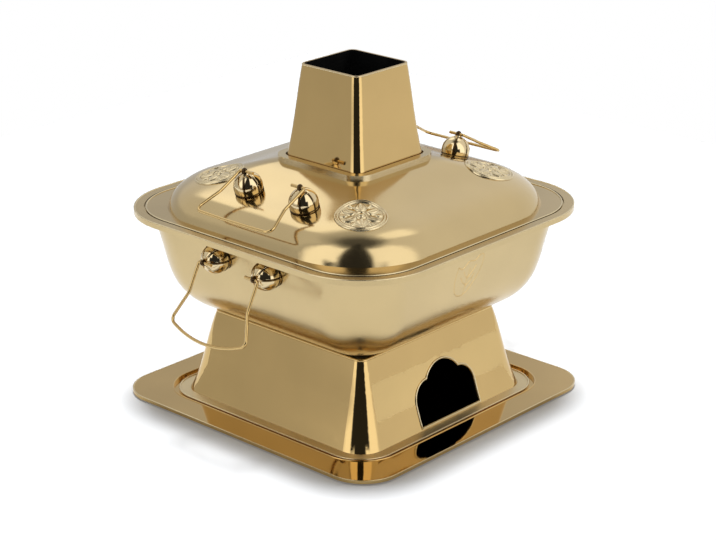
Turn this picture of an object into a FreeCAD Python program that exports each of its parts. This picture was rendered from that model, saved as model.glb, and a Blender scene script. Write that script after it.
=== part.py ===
import FreeCAD, Part
import math
import os

import Sketcher

# Chimney hot pot: a ring lid lifts off over the chimney of a square pot, the pot stands on
# a flared square stand with an arched door, and the stand sits in the well of a drip tray.
# Frame: origin on the table under the centre, +Z up. The door faces -Y and the wire bails
# are on the left (-X) and right (+X) sides.

# ---------------------------------------------------------------- driving dimensions (mm, tilts in degrees)

DIMENSIONS = {
    # drip tray
    "tray_half": 135.0,
    "tray_corner": 32.0,
    "tray_sheet": 1.2,
    "tray_rise": 2.4,
    "well_clearance": 4.0,
    # stand and its door
    "stand_sheet": 1.2,
    "stand_foot_flange": 9.0,
    "door_offset": 4.0,
    "door_sill": 3.3,
    "door_half_width": 34.0,
    "door_spring": 19.8,
    "door_lobe": 15.5,
    "door_crown": 45.6,
    # pot and its rim
    "pot_sheet": 1.2,
    "ledge_drop": 1.3,
    "ledge_width": 9.5,
    "rim_width": 8.0,
    "rim_lip": 4.0,
    # fire tube and charcoal grate
    "fire_chamber_half": 54.0,
    "fire_chamber_corner": 12.0,
    "fire_chamber_drop": 8.0,
    "tube_sheet": 1.6,
    "tube_foot_lip": 4.0,
    "tube_seat_clearance": 1.5,
    "grate_sheet": 2.0,
    "grate_clearance": 0.4,
    "grate_hole": 9.0,
    "grate_pitch": 17.0,
    # lid and its chimney collar
    "lid_sheet": 1.2,
    "lid_rim_clearance": 1.0,
    "chimney_gap": 1.3,
    "collar_sheet": 1.2,
    "collar_ledge": 6.0,
    "collar_height": 4.8,
    # lid medallions
    "medallion_radius": 20.0,
    "medallion_reach": 104.0,
    "medallion_tilt": 14.8,
    "medallion_height": 1.0,
    # bail bosses: a grooved ball and a neck with the wire's eye and a domed tip
    "ball_radius": 11.3,
    "ball_height": 4.4,
    "ball_groove": 0.9,
    "boss_height": 19.9,
    "neck_length": 5.0,
    "neck_root": 3.6,
    "neck_tip": 2.1,
    "eye_below_tip": 2.6,
    "lid_boss_spacing": 57.6,
    "lid_boss_tilt": 15.5,
    "pot_boss_spacing": 53.0,
    "pot_boss_tilt": 90.0,
    # wire bails
    "wire": 2.4,
    "wire_clearance": 0.08,
    "bail_side_gap": 0.3,
    "bail_arm": 47.4,
    "bail_corner_half": 39.6,
    "lid_bail_bow": 0.8,
    "pot_bail_bow": 9.0,
    "bail_kink": 24.0,
    "bail_stub": 6.5,
    "bail_eye_bend": 1.8,
    "bail_kink_bend": 9.0,
    "bail_corner_bend": 5.0,
    "lid_bail_tilt": 27.6,
    "pot_bail_tilt": 62.3,
    # boss screws and washers
    "screw": 4.0,
    "screw_clearance": 0.2,
    "thread_clearance": 0.05,
    "screw_grip": 8.0,
    "screw_end_gap": 0.4,
    "screw_head": 7.6,
    "screw_head_height": 2.4,
    "screw_slot": 1.0,
    "washer": 10.0,
    "washer_sheet": 0.8,
    "lid_washer_gap": 0.3,
    "pot_washer_gap": 0.95,
}

# Every drawn form is a stack of rounded squares. Each entry gives half the width over the
# flats, the corner radius and the height above the form's own datum.
FORMS = {
    # datum: the tray's well floor
    "stand": {
        "foot": (99.4, 21.0, 0.0),
        "skirt": (92.0, 16.5, 20.0),
        "waist": (86.4, 12.0, 41.0),
        "top": (79.2, 7.0, 66.8),
    },
    # datum: the stand's top
    "pot": {
        "base": (72.0, 15.0, 0.0),
        "heel": (79.0, 18.0, 2.6),
        "bilge": (89.0, 24.0, 8.0),
        "turn": (101.0, 33.0, 16.0),
        "flank": (110.4, 39.5, 28.0),
        "belly": (116.4, 43.5, 46.0),
        "wall": (120.6, 43.6, 69.2),
        "mouth": (121.6, 44.0, 86.9),
    },
    # datum: the stand's top
    "tube": {
        "shoulder": (53.0, 11.5, 38.0),
    },
    # datum: the top of the lid's collar
    "chimney": {
        "neck": (46.6, 9.6, -40.8),
        "collar": (38.9, 7.6, 0.0),
        "waist": (34.2, 6.6, 34.2),
        "top": (29.8, 5.6, 71.4),
    },
    # datum: the pot's ledge
    "lid": {
        "foot": (122.0, 66.0, 1.2),
        "wall": (120.5, 66.0, 6.0),
        "bulge": (117.2, 65.0, 12.0),
        "shoulder": (110.5, 61.0, 17.8),
        "hip": (101.0, 49.0, 21.6),
        "boss": (86.0, 32.0, 25.4),
        "slope": (66.0, 16.0, 31.4),
        "crown": (46.0, 9.0, 37.0),
        "brim": (38.0, 7.0, 38.6),
    },
}

SIDES = {"left": -1, "right": 1}
ENDS = {"front": -1, "rear": 1}

# Each ring cuts two of the grooves that part a boss ball's lobes.
BOSS_GROOVE_RINGS = 3

doc = FreeCAD.newDocument("chimney_hot_pot")
sheet = doc.addObject("Spreadsheet::Sheet", "Dims")
vector = FreeCAD.Vector

UP = vector(0, 0, 1)
ALONG = vector(1, 0, 0)
ACROSS = vector(0, 1, 0)

# A sketch's numbers for the points of a line or arc, and for its axes.
START, END, CENTRE = range(1, 4)
X_AXIS, Y_AXIS = range(-1, -3, -1)


def fill_sheet():
    """Write every driving dimension to the sheet as a number with an alias."""
    rows = dict(DIMENSIONS)
    for form, levels in FORMS.items():
        for level, sizes in levels.items():
            for what, size in zip(("half", "corner", "height"), sizes):
                rows[f"{form}_{level}_{what}"] = size
    for row, (name, size) in enumerate(rows.items(), start=1):
        sheet.set(f"A{row}", name)
        sheet.set(f"B{row}", str(size))
        sheet.setAlias(f"B{row}", name)
    doc.recompute()


def cell(name):
    """The expression that reads one cell of the sheet."""
    return f"Dims.{name}"


def value(expression):
    """The number that an expression gives with the sheet as it is."""
    number = sheet.evalExpression(expression)
    return float(getattr(number, "Value", number))


def grown(outline, distance):
    """An outline (half, corner) moved outwards by a distance."""
    half, corner = outline
    return f"({half} + {distance})", f"({corner} + {distance})"


def shrunk(outline, distance):
    """An outline (half, corner) moved inwards by a distance."""
    half, corner = outline
    return f"({half} - {distance})", f"({corner} - {distance})"


def outline_of(name):
    """The outline (half, corner) of the tray or of one station of a form."""
    return cell(f"{name}_half"), cell(f"{name}_corner")


fill_sheet()

# ---------------------------------------------------------------- heights that pieces share

WELL_FLOOR = cell("tray_sheet")
TRAY_RIM_TOP = f"({WELL_FLOOR} + {cell('tray_rise')})"
STAND_TOP = f"({WELL_FLOOR} + {cell('stand_top_height')})"
TUBE_BOTTOM = f"({STAND_TOP} - {cell('fire_chamber_drop')})"
LEDGE = f"({STAND_TOP} + {cell('pot_mouth_height')})"
POT_RIM_TOP = f"({LEDGE} + {cell('ledge_drop')})"
LID_CROWN = f"({LEDGE} + {cell('lid_crown_height')})"
COLLAR_TOP = f"({LID_CROWN} + {cell('collar_height')})"
DATUMS = {"stand": WELL_FLOOR, "pot": STAND_TOP, "tube": STAND_TOP, "chimney": COLLAR_TOP, "lid": LEDGE}

# ---------------------------------------------------------------- outlines that fit one another

FOOT = grown(outline_of("stand_foot"), cell("stand_foot_flange"))
WELL = grown(FOOT, cell("well_clearance"))
TUBE_FOOT = outline_of("fire_chamber")
TUBE_BORE = shrunk(TUBE_FOOT, cell("tube_sheet"))
SEAT_HOLE = grown(TUBE_FOOT, cell("tube_seat_clearance"))
MOUTH = outline_of("pot_mouth")
LEDGE_EDGE = grown(MOUTH, cell("ledge_width"))
POT_RIM = grown(LEDGE_EDGE, cell("rim_width"))
LID_EDGE = shrunk(LEDGE_EDGE, cell("lid_rim_clearance"))
CHIMNEY_HOLE = grown(outline_of("chimney_collar"), cell("chimney_gap"))
COLLAR = grown(CHIMNEY_HOLE, cell("collar_ledge"))

# ---------------------------------------------------------------- where the bosses sit

EYE_HEIGHT = f"({cell('boss_height')} - {cell('eye_below_tip')})"
NECK_TOP = f"({cell('boss_height')} - {cell('neck_tip')})"
NECK_TAPER = f"(({cell('neck_root')} - {cell('neck_tip')}) / {cell('neck_length')})"
NECK_AT_EYE = f"({cell('neck_tip')} + {NECK_TAPER} * ({NECK_TOP} - {EYE_HEIGHT}))"
LID_SEAT = {"reach": cell("lid_boss_half"), "height": f"({LEDGE} + {cell('lid_boss_height')})",
            "tilt": f"({cell('lid_boss_tilt')} * 1 deg)", "spacing": cell("lid_boss_spacing")}
POT_SEAT = {"reach": cell("pot_wall_half"), "height": f"({STAND_TOP} + {cell('pot_wall_height')})",
            "tilt": f"({cell('pot_boss_tilt')} * 1 deg)", "spacing": cell("pot_boss_spacing")}

# ---------------------------------------------------------------- helpers


def bind(thing, **expressions):
    """Bind properties to expressions; two underscores stand for a dot."""
    for path, expression in expressions.items():
        thing.setExpression(path.replace("__", "."), expression)
    return thing


def constrain(sketch, rules, sizes):
    """Add a sketch's geometric rules, then its sizes, each bound to its expression."""
    for rule in rules:
        sketch.addConstraint(Sketcher.Constraint(*rule))
    for size, expression in sizes:
        index = sketch.addConstraint(Sketcher.Constraint(*size, value(expression)))
        sketch.setExpression(f"Constraints[{index}]", expression)
    return sketch


def rounded_square(name, half, corner, height):
    """A sketch of a rounded square, centred on the Z axis at a height."""
    sketch = doc.addObject("Sketcher::SketchObject", name)
    side = value(half)
    radius = value(corner)
    flat = side - radius
    centres = [(flat, flat), (-flat, flat), (-flat, -flat), (flat, -flat)]
    edges = [((flat, side), (-flat, side)), ((-side, flat), (-side, -flat)),
             ((-flat, -side), (flat, -side)), ((side, -flat), (side, flat))]
    for quarter, ((x, y), (first, last)) in enumerate(zip(centres, edges)):
        turn = quarter * math.pi / 2
        circle = Part.Circle(vector(x, y, 0), UP, radius)
        sketch.addGeometry(Part.ArcOfCircle(circle, turn, turn + math.pi / 2))
        sketch.addGeometry(Part.LineSegment(vector(*first, 0), vector(*last, 0)))
    bend, top, second_bend, left, third_bend, bottom, fourth_bend, right = range(8)
    rules = []
    for before, line, after in [(bend, top, second_bend), (second_bend, left, third_bend),
                                (third_bend, bottom, fourth_bend), (fourth_bend, right, bend)]:
        rules.append(("Tangent", before, END, line, START))
        rules.append(("Tangent", line, END, after, START))
    rules += [("Horizontal", bottom), ("Vertical", left),
              ("Equal", bend, second_bend), ("Equal", bend, third_bend),
              ("Symmetric", top, START, top, END, Y_AXIS), ("Symmetric", right, START, right, END, X_AXIS)]
    sizes = [(("DistanceY", X_AXIS, START, top, START), half),
             (("DistanceX", X_AXIS, START, right, START), half),
             (("Radius", bend), corner)]
    constrain(sketch, rules, sizes)
    return bind(sketch, Placement__Base__z=height)


def raised(name, outline, direction, thickness):
    """A sketch drawn out along a direction by a thickness."""
    plate = doc.addObject("Part::Extrusion", name)
    plate.Base = outline
    plate.DirMode = "Custom"
    plate.Dir = direction
    plate.Solid = True
    return bind(plate, LengthFwd=thickness)


def slab(name, outline, height, thickness):
    """A rounded square plate from a height upwards."""
    return raised(name, rounded_square(f"{name}_outline", *outline, height), UP, thickness)


def cylinder(name, radius, height, start="0 mm"):
    """A cylinder on the local Z axis from a start upwards."""
    return bind(doc.addObject("Part::Cylinder", name), Radius=radius, Height=height,
                Placement__Base__z=start)


def cut(name, base, tool):
    """What is left of base without tool."""
    result = doc.addObject("Part::Cut", name)
    result.Base = base
    result.Tool = tool
    return result


def common(name, base, tool):
    """What base and tool share."""
    result = doc.addObject("Part::Common", name)
    result.Base = base
    result.Tool = tool
    return result


def fuse(name, *pieces):
    """The pieces joined into one solid."""
    result = doc.addObject("Part::MultiFuse", name)
    result.Shapes = list(pieces)
    result.Refine = True
    return result


def group(name, pieces):
    """Pieces that stay separate solids."""
    result = doc.addObject("Part::Compound", name)
    result.Links = pieces
    return result


def band(name, outer, inner, height, thickness):
    """A rounded square ring between an outer and an inner outline."""
    return cut(name, slab(f"{name}_outer", outer, height, thickness),
               slab(f"{name}_inner", inner, height, thickness))


def stations(*forms):
    """The stations of one or more forms as (half, corner, height) expressions, bottom first."""
    return [(*outline_of(f"{form}_{level}"), f"({DATUMS[form]} + {cell(f'{form}_{level}_height')})")
            for form in forms for level in FORMS[form]]


def inset(profile, depth, open_ends=()):
    """A profile moved inwards square to its own slope; an open end keeps its height."""
    moved = []
    last = len(profile) - 1
    level_ends = {"bottom": 0, "top": last}
    for index, (half, corner, height) in enumerate(profile):
        below = profile[max(index - 1, 0)]
        above = profile[min(index + 1, last)]
        run = f"({above[0]} - {below[0]})"
        rise = f"({above[2]} - {below[2]})"
        length = f"sqrt({run} * {run} + {rise} * {rise})"
        if index in [level_ends[end] for end in open_ends]:
            moved.append((*shrunk((half, corner), f"{depth} * {length} / {rise}"), height))
        else:
            moved.append((*shrunk((half, corner), f"{depth} * {rise} / {length}"),
                          f"({height} + {depth} * {run} / {length})"))
    return moved


def drawn(name, profile):
    """A solid drawn smoothly through a stack of rounded squares."""
    form = doc.addObject("Part::Loft", name)
    form.Sections = [rounded_square(f"{name}_{index}", *sizes) for index, sizes in enumerate(profile)]
    form.Solid = True
    form.Ruled = False
    return form


finished = []


def keep(thing, label):
    """Name a finished sub-part; its label names its file."""
    thing.Label = label
    finished.append(thing)


# ---------------------------------------------------------------- drip tray


def drip_tray():
    """A flat rim around a shallow well, pressed from one sheet, with a turned-down edge."""
    thick = cell("tray_sheet")
    edge = outline_of("tray")
    well = grown(WELL, thick)
    floor = slab("tray_floor", well, "0 mm", thick)
    wall = band("tray_wall", well, WELL, "0 mm", TRAY_RIM_TOP)
    rim = band("tray_rim", edge, WELL, f"({TRAY_RIM_TOP} - {thick})", thick)
    turned = band("tray_turned", edge, shrunk(edge, thick), thick, cell("tray_rise"))
    keep(fuse("tray_sheet_metal", floor, wall, rim, turned), "drip_tray")


# ---------------------------------------------------------------- stand


def door_cutter():
    """An arched door with a round lobe at each shoulder, cut through the front wall."""
    sketch = doc.addObject("Sketcher::SketchObject", "door_outline")
    notch = f"({cell('door_half_width')} - {cell('door_lobe')})"
    rise = f"({cell('door_crown')} - {cell('door_spring')} - {cell('door_lobe')})"
    crown_radius = f"(({notch} * {notch} + {rise} * {rise}) / (2 * {rise}))"
    side = value(cell("door_half_width"))
    sill = value(cell("door_sill"))
    spring = value(cell("door_spring"))
    lobe = value(cell("door_lobe"))
    radius = value(crown_radius)
    centre = value(cell("door_crown")) - radius
    lean = math.asin((spring + lobe - centre) / radius)
    shoulder_x = value(notch)
    arcs = [((shoulder_x, spring), lobe, 0, math.pi / 2), ((0, centre), radius, lean, math.pi - lean),
            ((-shoulder_x, spring), lobe, math.pi / 2, math.pi)]
    sketch.addGeometry(Part.LineSegment(vector(-side, sill, 0), vector(side, sill, 0)))
    sketch.addGeometry(Part.LineSegment(vector(side, sill, 0), vector(side, spring, 0)))
    for middle, size, first, last in arcs:
        sketch.addGeometry(Part.ArcOfCircle(Part.Circle(vector(*middle, 0), UP, size), first, last))
    sketch.addGeometry(Part.LineSegment(vector(-side, spring, 0), vector(-side, sill, 0)))
    bottom, right, right_lobe, crown, left_lobe, left = range(6)
    rules = [
        ("Coincident", bottom, END, right, START),
        ("Tangent", right, END, right_lobe, START),
        ("Coincident", right_lobe, END, crown, START),
        ("Coincident", crown, END, left_lobe, START),
        ("Tangent", left_lobe, END, left, START),
        ("Coincident", left, END, bottom, START),
        ("Vertical", right),
        ("Vertical", left),
        ("Symmetric", bottom, START, bottom, END, Y_AXIS),
        ("Symmetric", crown, START, crown, END, Y_AXIS),
        ("Vertical", right_lobe, END, right_lobe, CENTRE),
        ("Equal", right_lobe, left_lobe),
    ]
    sizes = [
        (("DistanceX", X_AXIS, START, bottom, END), cell("door_half_width")),
        (("DistanceY", X_AXIS, START, bottom, END), cell("door_sill")),
        (("DistanceY", X_AXIS, START, right, END), cell("door_spring")),
        (("Radius", right_lobe), cell("door_lobe")),
        (("Radius", crown), crown_radius),
    ]
    constrain(sketch, rules, sizes)
    sketch.Placement = FreeCAD.Placement(vector(), FreeCAD.Rotation(ALONG, 90))
    bind(sketch, Placement__Base__x=cell("door_offset"), Placement__Base__z=WELL_FLOOR)
    return raised("door_tool", sketch, -ACROSS, FOOT[0])


def stand_shell():
    """A flared square skirt with a turned-out foot, a turned-in seat and an arched door."""
    thick = cell("stand_sheet")
    outer = stations("stand")
    inner = inset(outer, thick, open_ends=("bottom", "top"))
    skirt = cut("stand_skirt", drawn("stand_outer", outer), drawn("stand_inner", inner))
    foot_hole = shrunk(outline_of("stand_foot"), f"{thick} / 2")
    foot = band("stand_flange", FOOT, foot_hole, WELL_FLOOR, thick)
    seat_edge = shrunk(outline_of("stand_top"), f"{thick} / 2")
    seat = band("stand_seat", seat_edge, SEAT_HOLE, f"({STAND_TOP} - {thick})", thick)
    sheet_metal = fuse("stand_sheet_metal", skirt, foot, seat)
    keep(cut("stand_with_door", sheet_metal, door_cutter()), "stand_shell")


# ---------------------------------------------------------------- pot, fire tube and grate


def tube_stations():
    """The fire tube's stations: a straight foot through the stand's seat, then up to the chimney's top."""
    return [(*TUBE_FOOT, TUBE_BOTTOM), (*TUBE_FOOT, STAND_TOP), *stations("tube", "chimney")]


def fire_tube(form):
    """A square tube that narrows from the fire chamber to the chimney, with a lip at its foot."""
    thick = cell("tube_sheet")
    bore = drawn("tube_inner", inset(tube_stations(), thick, open_ends=("bottom", "top")))
    lip = band("tube_lip", shrunk(TUBE_FOOT, f"{thick} / 2"), shrunk(TUBE_BORE, cell("tube_foot_lip")),
               TUBE_BOTTOM, thick)
    keep(fuse("tube_sheet_metal", cut("tube_wall", form, bore), lip), "fire_tube")


def charcoal_grate():
    """A pierced plate that lies on the lip at the fire tube's foot."""
    bottom = f"({TUBE_BOTTOM} + {cell('tube_sheet')})"
    plate = slab("grate_plate", shrunk(TUBE_BORE, cell("grate_clearance")), bottom, cell("grate_sheet"))
    clear = value(f"{TUBE_BORE[0]} - {cell('tube_foot_lip')} - {cell('grate_hole')} / 2")
    count = int(clear / value(cell("grate_pitch")))
    steps = range(-count, count + 1)
    holes = []
    for column in steps:
        for row in steps:
            hole = cylinder(f"grate_hole_{len(holes)}", f"{cell('grate_hole')} / 2",
                            cell("grate_sheet"), bottom)
            holes.append(bind(hole, Placement__Base__x=f"{column} * {cell('grate_pitch')}",
                              Placement__Base__y=f"{row} * {cell('grate_pitch')}"))
    keep(cut("grate_pierced", plate, group("grate_holes", holes)), "charcoal_grate")


def pot_bowl(form, tube):
    """A square bowl with a rounded heel and a stepped rim, open at the floor for the tube."""
    thick = cell("pot_sheet")
    inner = drawn("pot_inner", inset(stations("pot"), thick, open_ends=("top",)))
    walls = cut("pot_floor", cut("pot_walls", form, inner), tube)
    step = grown(LEDGE_EDGE, thick)
    ledge = band("pot_ledge", step, shrunk(MOUTH, f"{thick} / 2"), f"({LEDGE} - {thick})", thick)
    riser = band("pot_riser", step, LEDGE_EDGE, f"({LEDGE} - {thick})",
                 f"({thick} + {cell('ledge_drop')})")
    rim = band("pot_rim", POT_RIM, LEDGE_EDGE, f"({POT_RIM_TOP} - {thick})", thick)
    lip = band("pot_lip", POT_RIM, shrunk(POT_RIM, thick), f"({POT_RIM_TOP} - {cell('rim_lip')})",
               cell("rim_lip"))
    sheet_metal = fuse("pot_sheet_metal", walls, ledge, riser, rim, lip)
    keep(drilled("pot", POT_SEAT, sheet_metal), "pot_bowl")


# ---------------------------------------------------------------- lid, collar and medallions


def lid_shell(form):
    """A domed square ring: a flat flange, a steep wall, a slope and a hole for the chimney."""
    thick = cell("lid_sheet")
    inner = inset(stations("lid"), thick)
    under = inner[0][:2]
    dome = cut("lid_dome", form, drawn("lid_inner", inner))
    flange = band("lid_flange", LID_EDGE, under, LEDGE, thick)
    hole = slab("lid_hole", grown(CHIMNEY_HOLE, f"{cell('collar_ledge')} / 2"),
                f"({LID_CROWN} - {cell('collar_height')})", f"2 * {cell('collar_height')}")
    sheet_metal = cut("lid_sheet_metal", fuse("lid_closed", dome, flange), hole)
    keep(drilled("lid", LID_SEAT, sheet_metal), "lid_shell")


def lid_collar(form):
    """An upright square ring on the lid's crown with a ledge turned in to the chimney."""
    thick = cell("collar_sheet")
    upright = band("collar_wall", COLLAR, shrunk(COLLAR, thick),
                   f"({LID_CROWN} - {cell('collar_height')})", f"2 * {cell('collar_height')}")
    ledge = band("collar_top", COLLAR, CHIMNEY_HOLE, f"({COLLAR_TOP} - {thick})", thick)
    keep(cut("collar_seated", fuse("collar_ring", upright, ledge), form), "lid_collar")


def lid_medallions(form):
    """A raised disc on each corner of the lid, its underside shaped to the dome."""
    skin = drawn("lid_skin", inset(stations("lid"), f"(-1 * {cell('medallion_height')})"))
    half_depth = f"({cell('medallion_radius')} / 2)"
    tilt = f"({cell('medallion_tilt')} * 1 deg)"
    reach = f"(({cell('medallion_reach')} - {half_depth} * sin({tilt})) / sqrt(2))"
    for side, x in SIDES.items():
        for end, y in ENDS.items():
            name = f"lid_medallion_{side}_{end}"
            disc = cylinder(f"{name}_disc", cell("medallion_radius"), f"2 * {half_depth}",
                            f"{LEDGE} + {cell('lid_boss_height')} - {half_depth} * cos({tilt})")
            lean = FreeCAD.Rotation(vector(-y, x, 0), value(tilt))
            disc.Placement = FreeCAD.Placement(vector(), lean)
            bind(disc, Placement__Rotation__Angle=tilt, Placement__Base__x=f"{x} * {reach}",
                 Placement__Base__y=f"{y} * {reach}")
            keep(cut(f"{name}_seated", common(f"{name}_blank", disc, skin), form), name)


# ---------------------------------------------------------------- bail bosses and their screws


def seated(name, source, seat, side, end):
    """A local form moved to one boss seat, its Z axis along the boss."""
    moved = group(name, [source])
    moved.Placement = FreeCAD.Placement(vector(), FreeCAD.Rotation(ACROSS * side, value(seat["tilt"])))
    return bind(moved, Placement__Rotation__Angle=seat["tilt"],
                Placement__Base__x=f"{side} * {seat['reach']}",
                Placement__Base__y=f"{end} * {seat['spacing']} / 2",
                Placement__Base__z=seat["height"])


def at_seats(name, source, seat):
    """A local form at all four seats of the lid or the pot, by place name."""
    return {f"{side}_{end}": seated(f"{name}_{side}_{end}", source, seat, x, y)
            for side, x in SIDES.items() for end, y in ENDS.items()}


def drilled(piece, seat, sheet_metal):
    """Sheet metal with the four clearance holes for the boss screws."""
    reach = cell("ball_radius")
    drill = cylinder(f"{piece}_drill", f"{cell('screw')} / 2 + {cell('screw_clearance')}",
                     f"2 * {reach}", f"-1 * {reach}")
    drills = at_seats(f"{piece}_drill", drill, seat)
    return cut(f"{piece}_drilled", sheet_metal, group(f"{piece}_drills", list(drills.values())))


def boss_blank():
    """A grooved ball with a neck, a domed tip, an eye and a screw bore, its seat at the origin."""
    ball = bind(doc.addObject("Part::Sphere", "boss_ball"), Radius=cell("ball_radius"),
                Placement__Base__z=cell("ball_height"))
    grooves = []
    for index in range(BOSS_GROOVE_RINGS):
        groove = doc.addObject("Part::Torus", f"boss_groove_{index}")
        turn = (index + 0.5) * 180 / BOSS_GROOVE_RINGS
        upright = FreeCAD.Rotation(UP, turn).multiply(FreeCAD.Rotation(ALONG, 90))
        groove.Placement = FreeCAD.Placement(vector(), upright)
        grooves.append(bind(groove, Radius1=cell("ball_radius"), Radius2=cell("ball_groove"),
                            Placement__Base__z=cell("ball_height")))
    grooved = cut("boss_grooved", ball, fuse("boss_grooves", *grooves))
    neck = bind(doc.addObject("Part::Cone", "boss_neck"), Radius1=cell("neck_root"),
                Radius2=cell("neck_tip"), Height=cell("neck_length"),
                Placement__Base__z=f"{NECK_TOP} - {cell('neck_length')}")
    tip = bind(doc.addObject("Part::Sphere", "boss_tip"), Radius=cell("neck_tip"),
               Placement__Base__z=NECK_TOP)
    eye = cylinder("boss_eye", f"{cell('wire')} / 2 + {cell('wire_clearance')}",
                   f"2 * {cell('ball_radius')}", EYE_HEIGHT)
    eye.Placement = FreeCAD.Placement(vector(), FreeCAD.Rotation(ALONG, 90))
    bind(eye, Placement__Base__y=cell("ball_radius"))
    bore = cylinder("boss_bore", f"{cell('screw')} / 2 + {cell('thread_clearance')}",
                    f"{cell('ball_radius')} + {cell('screw_grip')} + {cell('screw_end_gap')}",
                    f"-1 * {cell('ball_radius')}")
    solid = fuse("boss_solid", grooved, neck, tip)
    return cut("boss_blank", solid, group("boss_holes", [eye, bore]))


def bosses(piece, seat, blank, form):
    """Four bosses, each with its seat shaped to the form it stands on."""
    for place, boss in at_seats(f"{piece}_boss_blank", blank, seat).items():
        keep(cut(f"{piece}_boss_seated_{place}", boss, form), f"{piece}_boss_{place}")


def fasteners(piece, seat):
    """Four slotted screws from inside, each with a washer under its head, clear of the leaning wall."""
    backed_off = f"({cell(f'{piece}_sheet')} + {cell(f'{piece}_washer_gap')})"
    washer_bottom = f"(-1 * ({backed_off} + {cell('washer_sheet')}))"
    head_bottom = f"({washer_bottom} - {cell('screw_head_height')})"
    shank = cylinder(f"{piece}_shank", f"{cell('screw')} / 2", f"{cell('screw_grip')} - {washer_bottom}",
                     washer_bottom)
    head = cylinder(f"{piece}_head", f"{cell('screw_head')} / 2", cell("screw_head_height"), head_bottom)
    slot = bind(doc.addObject("Part::Box", f"{piece}_slot"), Length=cell("screw_head"),
                Width=cell("screw_slot"), Height=f"{cell('screw_head_height')} / 2",
                Placement__Base__x=f"-1 * {cell('screw_head')} / 2",
                Placement__Base__y=f"-1 * {cell('screw_slot')} / 2", Placement__Base__z=head_bottom)
    screw = cut(f"{piece}_screw", fuse(f"{piece}_screw_blank", shank, head), slot)
    disc = cylinder(f"{piece}_washer_disc", f"{cell('washer')} / 2", cell("washer_sheet"), washer_bottom)
    hole = cylinder(f"{piece}_washer_hole", f"{cell('screw')} / 2 + {cell('screw_clearance')}",
                    cell("washer_sheet"), washer_bottom)
    washer = cut(f"{piece}_washer", disc, hole)
    screws = at_seats(f"{piece}_screw", screw, seat)
    washers = at_seats(f"{piece}_washer", washer, seat)
    keep(group(f"{piece}_screw_set", list(screws.values())), f"{piece}_boss_screws")
    keep(group(f"{piece}_washer_set", list(washers.values())), f"{piece}_boss_washers")


# ---------------------------------------------------------------- wire bails


def rounded_path(corners, bends):
    """Lines and tangent arcs through a row of points, each inner one rounded by its bend."""
    points = [vector(*corner, 0) for corner in corners]
    pieces = []
    start = points[0]
    for before, corner, after, radius in zip(points, points[1:], points[2:], bends):
        back = (before - corner).normalize()
        ahead = (after - corner).normalize()
        half_angle = back.getAngle(ahead) / 2
        inward = (back + ahead).normalize()
        middle = corner + inward * (radius / math.sin(half_angle))
        first = corner + back * (radius / math.tan(half_angle))
        last = corner + ahead * (radius / math.tan(half_angle))
        pieces.append(Part.LineSegment(start, first))
        pieces.append(Part.Arc(first, middle - inward * radius, last))
        start = last
    pieces.append(Part.LineSegment(start, points[-1]))
    return pieces


def meeting(sketch, first, second):
    """The ends at which two neighbouring pieces of a sketch meet."""
    pairs = [(one, other) for one in (START, END) for other in (START, END)]
    return min(pairs, key=lambda ends: sketch.getPoint(first, ends[0]).distanceToPoint(
        sketch.getPoint(second, ends[1])))


def bail_path(body, plane, spacing, bow):
    """Half of a bail's centre line: an end turned in, an arm with a kink, half a bowed crossbar."""
    arm_offset = f"({spacing} / 2 + {NECK_AT_EYE} + {cell('bail_side_gap')} + {cell('bail_eye_bend')})"
    pin_end = f"({spacing} / 2 - {NECK_AT_EYE} - {cell('bail_stub')})"
    flare = f"atan2({cell('bail_corner_half')} - {arm_offset}; {cell('bail_arm')} - {cell('bail_kink')})"
    straight_end = f"({cell('bail_kink')} - {cell('bail_kink_bend')} * tan({flare} / 2))"
    sweep = f"(({cell('bail_corner_half')} * {cell('bail_corner_half')} + {bow} * {bow}) / (2 * {bow}))"
    path = body.newObject("Sketcher::SketchObject", f"{body.Name}_path")
    path.AttachmentSupport = [(plane, "")]
    path.MapMode = "FlatFace"
    offset, reach, far = value(arm_offset), value(cell("bail_arm")), value(cell("bail_corner_half"))
    corners = [(0, value(pin_end)), (0, offset), (value(cell("bail_kink")), offset), (reach, far), (reach, 0)]
    bends = [value(cell(f"bail_{bend}_bend")) for bend in ("eye", "kink", "corner")]
    *arm, straight_bar = rounded_path(corners, bends)
    for piece in arm:
        path.addGeometry(piece)
    radius = value(sweep)
    middle = vector(reach + value(bow) - radius, 0, 0)
    turn = math.asin(straight_bar.StartPoint.y / radius)
    path.addGeometry(Part.ArcOfCircle(Part.Circle(middle, UP, radius), 0, turn))
    pin, eye, straight, kink, flared, corner, bar = range(7)
    rules = [("Vertical", pin), ("PointOnObject", pin, START, Y_AXIS), ("Horizontal", straight),
             ("PointOnObject", bar, CENTRE, X_AXIS), ("PointOnObject", bar, START, X_AXIS)]
    for first in range(bar):
        one, other = meeting(path, first, first + 1)
        rules.append(("Tangent", first, one, first + 1, other))
    sizes = [
        (("DistanceY", X_AXIS, START, pin, START), pin_end),
        (("DistanceY", X_AXIS, START, straight, START), arm_offset),
        (("DistanceX", X_AXIS, START, straight, END), straight_end),
        (("DistanceX", X_AXIS, START, bar, START), f"({cell('bail_arm')} + {bow})"),
        (("Radius", eye), cell("bail_eye_bend")),
        (("Radius", kink), cell("bail_kink_bend")),
        (("Radius", corner), cell("bail_corner_bend")),
        (("Radius", bar), sweep),
    ]
    constrain(path, rules, sizes)
    tilt = path.addConstraint(Sketcher.Constraint("Angle", flared, math.radians(value(flare))))
    path.setExpression(f"Constraints[{tilt}]", flare)
    return path, pin_end


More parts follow.
